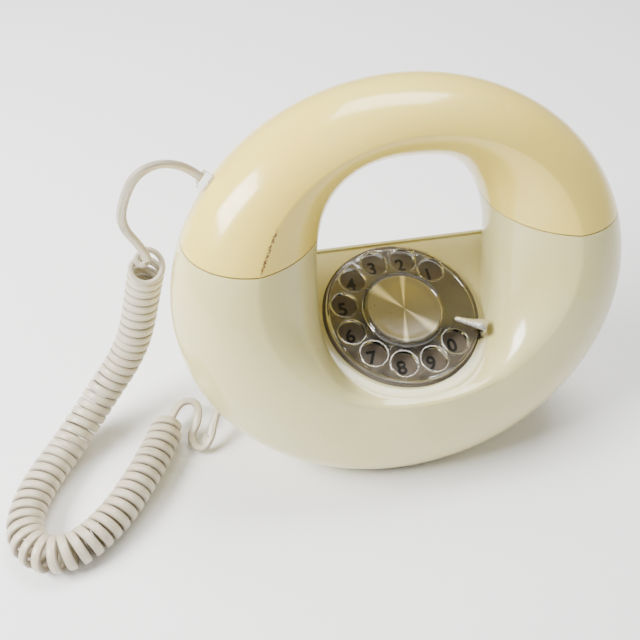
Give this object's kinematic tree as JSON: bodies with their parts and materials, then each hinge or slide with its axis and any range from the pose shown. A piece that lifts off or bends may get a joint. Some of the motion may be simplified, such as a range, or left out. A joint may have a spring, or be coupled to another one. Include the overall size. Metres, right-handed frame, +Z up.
{
  "type": "rotary telephone",
  "caption": "Rotary desk telephone shaped as a leaning ring: the upper half lifts off as the handset, the lower half holds the tilted dial, and a curly cord joins them.",
  "frame": {"origin": "on the table under the middle of the telephone's bounding box, cord left out", "axes": "+X to the right along the ring's width, +Y to the back, +Z up; the dial faces up and forward"},
  "size_m": [0.31, 0.1289, 0.1807],
  "materials": {
    "ivory_base": "glossy, aged",
    "ivory_handset": "glossy, yellowed",
    "plated_steel": "zinc plated",
    "black_rubber": "matt",
    "bright_steel": "bright",
    "white_plastic": "smooth",
    "contact_metal": "spring metal",
    "taupe_paint": "satin",
    "clear_plastic": "clear, slightly yellowed",
    "brushed_disc": "spun, radial grain",
    "brass": "polished",
    "copper_winding": "taped winding",
    "circuit_laminate": "solder resist",
    "dark_plastic": "moulded",
    "capsule_metal": "pressed",
    "red_insulation": "soft",
    "ivory_cord": "flat flexible PVC, grimy"
  },
  "bodies": {
    "base": {"base_front_housing": "ivory_base", "base_rear_housing": "ivory_base", "base_plate": "plated_steel", "base_feet": "black_rubber", "base_screws": "bright_steel", "cradle_left": "ivory_base", "cradle_right": "ivory_base", "hook_frame": "plated_steel", "hook_springs": "contact_metal", "dial_mount_ring": "plated_steel", "number_plate": "taupe_paint", "dial_chassis": "plated_steel", "finger_stop": "bright_steel", "pulse_contacts": "contact_metal", "mainspring_barrel": "plated_steel", "ringer_frame": "plated_steel", "ringer_coil": "copper_winding", "gong_high": "brass", "gong_low": "brass", "gong_screws": "bright_steel", "circuit_board": "circuit_laminate", "network_block": "dark_plastic", "line_jack": "dark_plastic", "base_cord_jack": "dark_plastic", "base_plug": "clear_plastic", "cord_coil": "ivory_cord", "cord_base_lead": "ivory_cord"},
    "dial_rotor": {"finger_wheel": "clear_plastic", "centre_bezel": "clear_plastic", "centre_disc": "brushed_disc", "dial_spindle": "bright_steel", "drive_gear": "brass"},
    "governor": {"governor_shaft": "bright_steel", "governor_weights": "brass"},
    "hook": {"hook_plunger": "white_plastic"},
    "clapper": {"clapper": "bright_steel"},
    "handset": {"handset_front_shell": "ivory_handset", "handset_rear_shell": "ivory_handset", "receiver_cap": "ivory_handset", "transmitter_cap": "ivory_handset", "receiver_capsule": "capsule_metal", "transmitter_capsule": "capsule_metal", "handset_wiring": "red_insulation", "handset_jack": "dark_plastic", "handset_plug": "clear_plastic", "cord_handset_lead": "ivory_cord"}
  },
  "joints": [
    {"name": "dial_spin", "type": "hinge", "parent": "base", "child": "dial_rotor", "pos_m": [0, -0.00426, 0.0693], "axis": [0, -0.2706, 0.9627], "range_deg": [-330, 0], "stiffness_Nm_per_rad": 0.004, "springref_deg": 171.89},
    {"name": "governor_spin", "type": "hinge", "parent": "base", "child": "governor", "pos_m": [-0.02255, -0.00837, 0.0536], "axis": [0, -0.2706, 0.9627], "range_deg": [0, 1650]},
    {"name": "handset_lift", "type": "slide", "parent": "base", "child": "handset", "axis": [0, 0, 1], "range_m": [0, 0.08]},
    {"name": "hook_travel", "type": "slide", "parent": "base", "child": "hook", "axis": [0, 0, 1], "range_m": [0, 0.004], "stiffness_N_per_m": 60, "springref_m": 0.006},
    {"name": "clapper_swing", "type": "hinge", "parent": "base", "child": "clapper", "pos_m": [0, 0.009, 0.011], "axis": [0, 0, 1], "range_deg": [-5, 5]}
  ],
  "couplings": [
    {"joint": "governor_spin", "follows": "dial_spin", "ratio": -5},
    {"joint": "hook_travel", "follows": "handset_lift", "ratio": 0.05}
  ]
}
